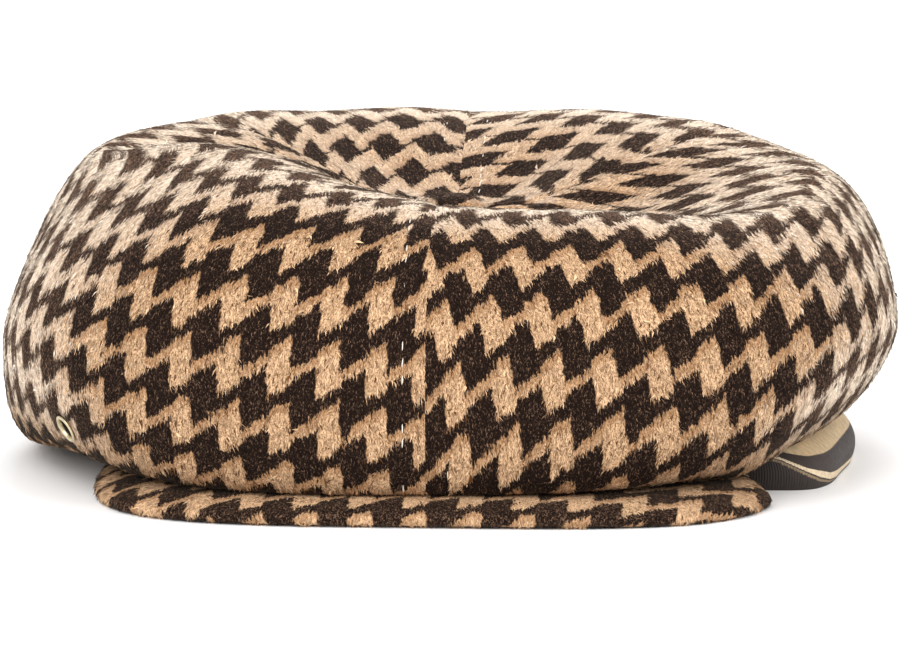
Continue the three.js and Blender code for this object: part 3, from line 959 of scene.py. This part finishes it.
def wool_cloth(name, rim, lift):
    material, tree = new_material(name)
    cloth = put(tree, "ShaderNodeUVMap", uv_map="cloth").outputs[0]
    fuzz = noise(tree, stretched(tree, cloth, FUZZ_SCALE), scale=1.0, detail=3.0, rough=0.7)
    shade = ranged(tree, fuzz, FUZZ_FROM, FUZZ_TO, *FUZZ_SHADES, "LINEAR")
    hairs = reckon(tree, "MULTIPLY", fine_hairs(tree, cloth), HAIR_SHADE)
    shade = reckon(tree, "ADD", shade, hairs)
    # lift paints the wool lighter all over, as painted light
    shade = reckon(tree, "MINIMUM", reckon(tree, "ADD", shade, lift), 1.0)
    colour, streak = wool_colour(tree, cloth, CLOTH_FEATHER, painted_edge_sheen(tree, rim), shade)
    height = reckon(tree, "ADD", fuzz, streak)
    bump = put(tree, "ShaderNodeBump", {"Strength": 0.4, "Distance": 0.4 * MM, "Height": height})
    surface(tree, {
        "Base Color": colour,
        "Roughness": 0.95,
        "Normal": bump.outputs[0],
        **WOOL_SHEEN,
    })
    return material


def wool_nap(name, rim, lift):
    material, tree = new_material(name)
    cloth = put(tree, "ShaderNodeUVMap", uv_map="cloth").outputs[0]
    rim = painted_edge_sheen(tree, rim)
    tufts = noise(tree, stretched(tree, cloth, TUFT_SCALE), scale=1.0)
    tufts = ranged(tree, tufts, TUFT_FROM, TUFT_TO, -TUFTS, TUFTS, "LINEAR")
    tufts = reckon(tree, "MULTIPLY", tufts, ranged(tree, rim, 0, 1, 1, EDGE_TUFTS, "LINEAR"))
    shade = put(tree, "ShaderNodeAttribute", attribute_name="shade").outputs["Fac"]
    # lift paints the nap lighter all over, as painted light
    shade = reckon(tree, "ADD", reckon(tree, "ADD", shade, lift), tufts)
    shade = ranged(tree, shade, 0, 1, 0, 1, "LINEAR")
    colour, _ = wool_colour(tree, cloth, NAP_FEATHER, rim, shade)
    surface(tree, {"Base Color": colour, "Roughness": 0.9, **WOOL_SHEEN})
    return material


LINING_COLOURS = ((0.005, 0.004, 0.004, 1), (0.016, 0.013, 0.012, 1))
TWILL_TURN = 7000.0


def dark_lining_cloth():
    material, tree = new_material("dark_lining_cloth")
    place = put(tree, "ShaderNodeUVMap", uv_map="cloth").outputs[0]
    twill = put(tree, "ShaderNodeSeparateXYZ", {0: place}).outputs
    slant = reckon(tree, "ADD", twill[0], twill[1])
    ribs = reckon(tree, "SINE", reckon(tree, "MULTIPLY", slant, TWILL_TURN))
    mottle = noise(tree, place, scale=160.0, detail=3.0)
    bump = put(tree, "ShaderNodeBump", {"Strength": 0.3, "Distance": 0.15 * MM, "Height": ribs})
    surface(tree, {
        "Base Color": blend(tree, mottle, *LINING_COLOURS),
        "Roughness": ranged(tree, mottle, 0.3, 0.7, 0.75, 0.9),
        "Specular IOR Level": 0.15,
        "Normal": bump.outputs[0],
    })
    return material


# Where each stripe starts across the ribbon, and its colour
RIBBON_STRIPES = (
    (0.00, (0.03, 0.021, 0.018, 1)),
    (0.09, (0.24, 0.17, 0.10, 1)),
    (0.14, (0.025, 0.017, 0.014, 1)),
    (0.17, (0.70, 0.56, 0.38, 1)),
    (0.28, (0.038, 0.026, 0.022, 1)),
    (0.62, (0.56, 0.415, 0.245, 1)),
)
RIB_PITCH = 0.75
RIB_TOOTH = 0.006
RIBBON_GRAIN = (900, 14000, 0)
GRAIN_HEIGHT = 0.8
WORN_SHADES = (0.78, 1.1)


def striped_ribbon():
    material, tree = new_material("ribbed_striped_ribbon")
    ribbon = put(tree, "ShaderNodeUVMap", uv_map="ribbon").outputs[0]
    place = put(tree, "ShaderNodeSeparateXYZ", {0: ribbon}).outputs
    turn = reckon(tree, "MULTIPLY", place[0], 2 * math.pi / (RIB_PITCH * MM))
    rib = reckon(tree, "SINE", turn)
    fine = noise(tree, stretched(tree, ribbon, RIBBON_GRAIN), scale=1.0)
    tooth = reckon(tree, "MULTIPLY", rib, RIB_TOOTH)
    across = reckon(tree, "ADD", reckon(tree, "MULTIPLY", place[1], 1 / MM), tooth)
    ramp = put(tree, "ShaderNodeValToRGB", {0: across})
    ramp.color_ramp.interpolation = "CONSTANT"
    stops = ramp.color_ramp.elements
    for k, (stop, colour) in enumerate(RIBBON_STRIPES):
        element = stops[k] if k < len(stops) else stops.new(stop)
        element.position = stop
        element.color = colour
    worn = ranged(tree, fine, 0.3, 0.7, *WORN_SHADES)
    tint = put(tree, "ShaderNodeCombineColor", {0: worn, 1: worn, 2: worn}).outputs[0]
    colour = put(
        tree, "ShaderNodeMix", {0: 1.0, 6: ramp.outputs[0], 7: tint},
        data_type="RGBA", blend_type="MULTIPLY",
    )
    height = reckon(tree, "ADD", rib, reckon(tree, "MULTIPLY", fine, GRAIN_HEIGHT))
    bump = put(tree, "ShaderNodeBump", {"Strength": 0.5, "Distance": 0.12 * MM, "Height": height})
    surface(tree, {
        "Base Color": colour.outputs[2],
        "Roughness": ranged(tree, fine, 0.3, 0.7, 0.5, 0.65),
        "Specular IOR Level": 0.3,
        "Normal": bump.outputs[0],
    })
    return material


def worn_brass(name, dull, bright, metal):
    """Brass from its dull to its bright places. Where it is painted black as shade, metal is 0."""
    material, tree = new_material(name)
    place = put(tree, "ShaderNodeTexCoord").outputs["Object"]
    tarnish_and_shade = noise(tree, place, scale=900.0, detail=4.0, rough=0.6)
    scratch = noise(tree, place, scale=5200.0)
    bump = put(tree, "ShaderNodeBump", {"Strength": 0.15, "Distance": 0.1 * MM, "Height": scratch})
    surface(tree, {
        "Base Color": blend(tree, tarnish_and_shade, dull, bright),
        "Metallic": metal,
        "Roughness": ranged(tree, tarnish_and_shade, 0.3, 0.7, 0.5, 0.28),
        "Normal": bump.outputs[0],
    })
    return material


THREAD_COLOURS = ((0.62, 0.57, 0.49, 1), (0.88, 0.85, 0.78, 1))
FLOOR_COLOURS = ((0.91, 0.91, 0.91, 1), (0.95, 0.95, 0.95, 1))


def sewing_thread():
    material, tree = new_material("pale_sewing_thread")
    place = put(tree, "ShaderNodeTexCoord").outputs["Object"]
    twist = noise(tree, place, scale=4200.0)
    bump = put(tree, "ShaderNodeBump", {"Strength": 0.4, "Distance": 0.08 * MM, "Height": twist})
    surface(tree, {
        "Base Color": blend(tree, twist, *THREAD_COLOURS),
        "Roughness": 0.6,
        "Normal": bump.outputs[0],
    })
    return material


def pale_floor():
    material, tree = new_material("pale_floor")
    place = put(tree, "ShaderNodeTexCoord").outputs["Object"]
    cloud = noise(tree, place, scale=3.0)
    surface(tree, {
        "Base Color": blend(tree, cloud, *FLOOR_COLOURS),
        "Roughness": 0.7,
        "Specular IOR Level": 0.2,
    })
    return material


CHECK = houndstooth_group()
COLOURS = wool_colour_group()
WOOL = wool_cloth("brushed_check_wool", rim=0.9, lift=0.0)
NAP = wool_nap("combed_nap", rim=0.9, lift=0.0)
# Painted light: the peak's wool is lifted lighter to make up for shade from the crown, with little
# painted edge sheen
PEAK_WOOL_PAINTED_LIGHT = wool_cloth("peak_check_wool_painted_light", rim=0.1, lift=0.15)
PEAK_NAP_PAINTED_LIGHT = wool_nap("peak_combed_nap_painted_light", rim=0.1, lift=0.15)
LINING_CLOTH = dark_lining_cloth()
RIBBON = striped_ribbon()
BRASS = worn_brass(
    "worn_brass", dull=(0.36, 0.28, 0.16, 1), bright=(0.82, 0.72, 0.50, 1), metal=1.0
)
# Painted shade: near-black, not metal, for the inside of the eyelet's barrel where little light gets
# in
BRASS_PAINTED_SHADE = worn_brass(
    "brass_painted_shade", dull=(0.006, 0.005, 0.004, 1), bright=(0.02, 0.015, 0.01, 1), metal=0.0
)
THREAD = sewing_thread()


def stand_for(node, slot, *pieces):
    """Puts pieces on the cap's body in a node's place, and hides the node."""
    for piece in pieces:
        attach(piece, "root")
    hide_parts(node)


def make_crown():
    spot = crown_place(EYELET_ANGLE, EYELET_STRETCH)[0]
    for k, name in enumerate(PANEL_NAMES):
        p = panel_patch(k)
        vented = SEAMS[k] < EYELET_ANGLE < SEAMS[k + 1]
        hole = (spot, EYELET_PUNCH * MM) if vented else None
        bare = (spot, EYELET_OUTER * MM) if vented else None
        panel = sheet_object(f"{name}_cloth", p, CLOTH, WOOL, hole=hole)
        hidden = np.arange(sum(PANEL_ROWS)) < PANEL_ROWS[0] - OPEN_TUCK_ROWS
        weight = np.where(hidden, HIDDEN_TUCK_SHARE, 1.0)[:, None]
        seed = CROWN_NAP_SEED + k
        nap = comb_nap(f"{name}_nap", p, STRANDS_PER_PANEL, weight, seed, NAP, bare)
        stand_for(name, "check_wool", panel, nap)


def peak_edge(angle):
    """Radius of the peak's outer edge, by halving towards it."""
    low = np.full_like(angle, PEAK_EDGE_FROM)
    high = np.full_like(angle, PEAK_EDGE_TO)
    for _ in range(PEAK_EDGE_STEPS):
        r = (low + high) / 2
        x = r * np.sin(np.radians(angle)) / PEAK_HALF_WIDTH
        y = (AXIS_Y - r * np.cos(np.radians(angle)) - PEAK_CENTRE_Y) / PEAK_REACH
        inside = np.abs(x) ** PEAK_SQUARE + np.abs(np.minimum(y, 0)) ** PEAK_SQUARE < 1
        low = np.where(inside, r, low)
        high = np.where(inside, high, r)
    return low


def peak_plan(angle, out):
    """Point of the peak's plan, from its sewn edge (0) to its outer edge (1)."""
    inner = np.maximum(beside_band(angle, 0), beside_band(angle, PEAK_TOP))
    ends = np.minimum(angle - PEAK_FROM, PEAK_TO - angle)
    short = np.maximum(0, 1 - ends / PEAK_END_ROUND)
    full = np.maximum(PEAK_END_WIDTH, peak_edge(angle) - inner)
    width = np.maximum(PEAK_END_WIDTH, full * np.sqrt(1 - short * short))
    return polar(angle, inner + width * out, 0.0)


def peak_arch(x, out):
    return PEAK_ARCH * out * np.maximum(0, 1 - (x / PEAK_HALF_WIDTH) ** 2)


def peak_height(out, through):
    """Height of the covered peak over its arch: through is 0 on top and 1 underneath."""
    top = PEAK_TOP - PEAK_NOSE * np.clip(out, 0, 1) ** PEAK_NOSE_SHARPNESS
    bottom = LINING + LAYER_GAP - PEAK_LIP * smooth(out, PEAK_LIP_FROM, PEAK_LIP_TO)
    return top + (bottom - top) * through


def peak_patch():
    """The covered peak, its check counted on a flat cut of its top."""
    under = np.linspace(0, 1, PEAK_UNDER_ROWS, endpoint=False) ** PEAK_UNDER_SPACING
    nose = np.linspace(1, 0, PEAK_NOSE_ROWS)
    over = 1 - np.linspace(0, 1, PEAK_TOP_ROWS + 1)[1:] ** PEAK_TOP_SPACING
    out = np.concatenate([under, 1 + PEAK_NOSE_ROUND * np.sin(np.pi * nose), over])
    through = np.concatenate([np.ones(PEAK_UNDER_ROWS), nose, np.zeros(PEAK_TOP_ROWS)])
    turn = np.linspace(PEAK_FROM, PEAK_TO, PEAK_COLUMNS + 1)
    angle, out = np.meshgrid(turn, out)
    through = np.broadcast_to(through[:, None], out.shape)
    points = peak_plan(angle, out)
    points[..., 2] = peak_arch(points[..., 0], out) + peak_height(out, through)
    run = arc_length(points, axis=0)
    flat = polar(angle, 0.0, 0.0) + (points[-1] - polar(angle, 0.0, points[-1, :, 2]))
    flat = flat + polar(angle, run[-1] - run, 0.0) - polar(angle, 0.0, 0.0)
    return patch(points, on_grain("peak", flat[..., 0], flat[..., 1] - PEAK_CENTRE_Y))


def make_peak():
    p = peak_patch()
    bm = bmesh.new()
    spot = lay_grid(bm, p.points, p.cloth, "cloth")
    last = p.points.shape[0] - 1
    ends = [e for e in bm.edges if e.is_boundary]
    sewn = [e for e in ends if all(spot[v][0] == 0 for v in e.verts)]
    sewn += [e for e in ends if all(spot[v][0] == last for v in e.verts)]
    bmesh.ops.bridge_loops(bm, edges=sewn)
    bmesh.ops.holes_fill(bm, edges=[e for e in bm.edges if e.is_boundary], sides=0)
    bmesh.ops.recalc_face_normals(bm, faces=bm.faces)
    peak = new_object("peak_cloth", finish_mesh(bm, "peak_cloth"), PEAK_WOOL_PAINTED_LIGHT)
    weight = np.where(np.arange(last) < PEAK_UNDER_ROWS - 1, 0.0, 1.0)[:, None]
    nap = comb_nap("peak_nap", p, STRANDS_ON_PEAK, weight, PEAK_NAP_SEED, PEAK_NAP_PAINTED_LIGHT)
    stand_for("peak", "check_wool", peak, nap)


def make_lining():
    turn = np.linspace(PEAK_FROM, PEAK_TO, LINING_COLUMNS + 1)
    angle, out = np.meshgrid(turn, np.linspace(LINING_SHARE, 0, LINING_ROWS + 1))
    points = peak_plan(angle, out)
    points[..., 2] = peak_arch(points[..., 0], out) + LINING
    p = patch(points, points[..., :2])
    lining = sheet_object("peak_lining_cloth", p, LINING, LINING_CLOTH)
    stand_for("peak_lining", "dark_lining", lining)


# Stripe edges on the ribbon, as shares of its height: where it runs straight, and row by row where
# the stripes fan out from a pinch as the ribbon comes out from under the hem
STRIPE_EDGES = (0.0, 0.09, 0.14, 0.17, 0.28, 0.62, 1.0)
FAN_COLUMNS = ("angle", "bottom", "low_tan", "low_dark", "cream", "wide_dark")
FAN = np.array((
    (54.5, 0.68, 0.70, 0.72, 0.74, 0.78),
    (56.0, 0.52, 0.55, 0.58, 0.60, 0.68),
    (57.2, 0.36, 0.40, 0.43, 0.49, 0.63),
    (58.3, 0.25, 0.29, 0.33, 0.40, 0.61),
    (60.2, 0.13, 0.17, 0.21, 0.33, 0.58),
    (63.4, 0.04, 0.07, 0.10, 0.22, 0.55),
    (67.0, 0.015, 0.03, 0.05, 0.18, 0.54),
    (72.5, 0.005, 0.01, 0.015, 0.13, 0.55),
    (80.0, 0.005, 0.01, 0.015, 0.11, 0.56),
))


def make_ribbon():
    turn = np.concatenate([
        np.linspace(start, end, columns, endpoint=False)
        for (start, columns), (end, _) in zip(RIBBON_STEPS, RIBBON_STEPS[1:])
    ])
    turn = np.append(turn, RIBBON_STEPS[-1][0])
    angle, share = np.meshgrid(turn, np.linspace(0, 1, BAND_ROWS + 1))
    loop = LOOP_BULGE * np.exp(-(((wrap(angle) - LOOP_ANGLE) / LOOP_WIDTH) ** 2))
    loop = loop * (1 - LOOP_TOP_CALM * share)
    points = polar(angle, band_outer(angle, share) + loop, share * band_top(angle))
    out = turnout(angle)
    stripe = np.zeros_like(share)
    for k in range(angle.shape[1]):
        fanned = [np.interp(turn[k], FAN[:, 0], FAN[:, c]) for c in range(1, len(FAN_COLUMNS))]
        fanned = np.array([0.0, *fanned, 1.0])
        edges = np.array(STRIPE_EDGES) + out[0, k] * (fanned - np.array(STRIPE_EDGES))
        stripe[:, k] = np.interp(share[:, k], edges, STRIPE_EDGES)
    run = arc_length(points, axis=1).mean(axis=0, keepdims=True)
    p = patch(points, np.stack(np.broadcast_arrays(run, stripe), axis=-1))
    ribbon = sheet_object("sweatband_ribbon", p, BAND, RIBBON, uv_name="ribbon", join=True)
    stand_for("sweatband", "striped_ribbon", ribbon)


def make_button():
    rim = np.array([(BUTTON_RADIUS - inward, BUTTON_LIFT + up) for inward, up in BUTTON_TURN_IN])
    rise = np.radians(np.linspace(*BUTTON_SWING, BUTTON_ROWS))
    edge = BUTTON_LIFT + BUTTON_EDGE
    dome_z = edge + (BUTTON_HEIGHT - edge) * np.sin(rise)
    dome = np.stack([BUTTON_RADIUS * np.cos(rise), dome_z], axis=-1)
    profile = np.concatenate([rim, dome])
    angle, row = np.meshgrid(np.linspace(0, 360, BUTTON_COLUMNS + 1), np.arange(len(profile)))
    turn = np.radians(angle)
    r, z = profile[row, 0], profile[row, 1] + DIP_HEIGHT
    pleats = np.cos(np.radians(BUTTON_PLEATS * angle))
    z = z + BUTTON_PLEAT * pleats * smooth(r, BUTTON_PLEATS_FROM, BUTTON_RADIUS)
    spread = np.radians(90) * (1 - row / (len(profile) - 1)) * BUTTON_RADIUS
    cloth = on_grain("top_button", spread * np.sin(turn), -spread * np.cos(turn))
    p = patch(polar(angle, r, z), cloth)
    button = sheet_object("top_button_cloth", p, BUTTON_CLOTH, WOOL, join=True)
    nap = comb_nap("top_button_nap", p, STRANDS_ON_BUTTON, 1.0, BUTTON_NAP_SEED, NAP)
    stand_for("top_button", "check_wool", button, nap)


def crown_place(angle, stretch):
    """Point, outward direction and upward direction of the soft crown at one place."""
    step = 0.02
    a, s = np.array([float(angle)]), np.array([float(stretch)])
    point = soft_crown(a, s)[0]
    outward = normal_of(soft_crown, a, s)[0]
    upward = unit(soft_crown(a, s + step)[0] - soft_crown(a, s - step)[0])
    return Vector(point * MM), Vector(outward), Vector(upward)


def stand_on(point, outward, upward):
    """Matrix that stands +Z on a surface with +Y up it."""
    across = upward.cross(outward).normalized()
    up = outward.cross(across)
    turn = Matrix((across, up, outward)).transposed().to_4x4()
    return Matrix.Translation(point) @ turn


def make_eyelet():
    bm = bmesh.new()
    ring = [bm.verts.new((r * MM, 0, z * MM)) for r, z in EYELET_PROFILE]
    edges = [bm.edges.new((ring[k], ring[(k + 1) % len(ring)])) for k in range(len(ring))]
    bmesh.ops.spin(
        bm, geom=ring + edges, cent=(0, 0, 0), axis=(0, 0, 1), angle=2 * math.pi,
        steps=EYELET_STEPS, use_merge=True,
    )
    bmesh.ops.remove_doubles(bm, verts=bm.verts, dist=1e-6)
    bmesh.ops.recalc_face_normals(bm, faces=bm.faces)
    # Faces inside the hole take the second material, the painted shade of the barrel's inside
    for face in bm.faces:
        spot = face.calc_center_median()
        dark_reach = (EYELET_HOLE + EYELET_SHADE_WALL) * MM
        face.material_index = int(math.hypot(spot.x, spot.y) < dark_reach)
    place = stand_on(*crown_place(EYELET_ANGLE, EYELET_STRETCH))
    bmesh.ops.transform(bm, matrix=place, verts=bm.verts)
    eyelet = new_object("eyelet_ring", finish_mesh(bm, "eyelet_ring"), BRASS, BRASS_PAINTED_SHADE)
    rounded = eyelet.modifiers.new("rounded", "SUBSURF")
    rounded.levels = rounded.render_levels = 1
    stand_for("eyelet", "brass", eyelet)


def stitch_row(bm, seam, aside, level, rng):
    """Stitches a set distance from a seam, from the low fold over the crest into the dip."""
    stretch = np.linspace(STITCH_FROM, STITCH_TO, STITCH_PLACES)
    r, _ = section_point(np.full_like(stretch, seam), stretch)
    angle = seam + np.degrees(aside / np.maximum(r, STITCH_NEAREST))
    points = soft_crown(angle, stretch)
    run = np.concatenate([[0], np.cumsum(np.linalg.norm(np.diff(points, axis=0), axis=-1))])
    half = STITCH_LENGTH / 2 * MM
    shape = Matrix.Diagonal((STITCH_RADIUS * MM, half, STITCH_RADIUS * MM, 1))
    pole = Matrix.Rotation(math.radians(90), 4, "X")
    for start in np.arange(STITCH_FIRST, run[-1] - STITCH_LENGTH, STITCH_PITCH):
        middle = start + STITCH_LENGTH / 2 + rng.uniform(-STITCH_UNEVEN, STITCH_UNEVEN)
        at = np.interp(middle, run, stretch)
        point, outward, upward = crown_place(np.interp(middle, run, angle), at)
        height = (level + rng.uniform(*STITCH_SINK)) * MM
        place = stand_on(point + outward * height, outward, upward)
        tilt = Matrix.Rotation(math.radians(rng.normal(0, STITCH_TILT)), 4, "Z")
        bmesh.ops.create_uvsphere(
            bm, u_segments=6, v_segments=5, radius=1, matrix=place @ tilt @ shape @ pole
        )


def make_stitches():
    rng = np.random.default_rng(STITCH_SEED)
    bm = bmesh.new()
    for seam in STITCH_SEAMS:
        for aside, level in STITCH_ROWS:
            stitch_row(bm, seam, aside, level, rng)
    bmesh.ops.recalc_face_normals(bm, faces=bm.faces)
    stitches = new_object("seam_topstitches", finish_mesh(bm, "seam_topstitches"), THREAD)
    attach(stitches, "root")


make_ribbon()
make_crown()
make_peak()
make_lining()
make_button()
make_eyelet()
make_stitches()

# Stage, light and camera
FLOOR_HALF_SIZE = 6.0
CAMERA_TARGET = Vector((AXIS_X, -8.2, 40)) * MM
CAMERA_AZIMUTH, CAMERA_ELEVATION = 3.5, 8
CAMERA_DISTANCE = 1.5
CAMERA_LENS = 195.9
SENSOR_WIDTH = 36

# Name, azimuth, elevation, distance in metres, size in metres, power in watts
LIGHTS = (
    ("front_softbox", -18, 34, 1.6, 1.3, 21),
    ("right_fill", 62, 28, 1.7, 1.1, 10.5),
    ("back_softbox", 176, 48, 1.6, 1.2, 11),
)
WORLD_LIGHT = 0.95


def view_back(azimuth, elevation):
    a, e = math.radians(azimuth), math.radians(elevation)
    return Vector((math.sin(a) * math.cos(e), -math.cos(a) * math.cos(e), math.sin(e)))


def aimed(name, data, azimuth, elevation, distance):
    made = bpy.data.objects.new(name, data)
    bpy.context.scene.collection.objects.link(made)
    back = view_back(azimuth, elevation)
    made.location = CAMERA_TARGET + back * distance
    made.rotation_euler = back.to_track_quat("Z", "Y").to_euler()
    return made


def make_stage():
    bm = bmesh.new()
    bmesh.ops.create_grid(bm, x_segments=4, y_segments=4, size=FLOOR_HALF_SIZE)
    floor = new_object("floor", finish_mesh(bm, "floor"), pale_floor())
    world = bpy.data.worlds.new("soft_room")
    world.use_nodes = True
    world.node_tree.nodes["Background"].inputs["Color"].default_value = (1, 1, 1, 1)
    world.node_tree.nodes["Background"].inputs["Strength"].default_value = WORLD_LIGHT
    bpy.context.scene.world = world
    for name, azimuth, elevation, distance, size, power in LIGHTS:
        light = bpy.data.lights.new(name, "AREA")
        light.size = size
        light.energy = power
        aimed(name, light, azimuth, elevation, distance)
    camera = bpy.data.cameras.new("camera")
    camera.lens = CAMERA_LENS
    camera.sensor_width = SENSOR_WIDTH
    camera.sensor_fit = "HORIZONTAL"
    camera.clip_end = 50
    bpy.context.scene.camera = aimed(
        "camera", camera, CAMERA_AZIMUTH, CAMERA_ELEVATION, CAMERA_DISTANCE
    )
    bpy.context.scene.view_settings.view_transform = "Standard"


make_stage()
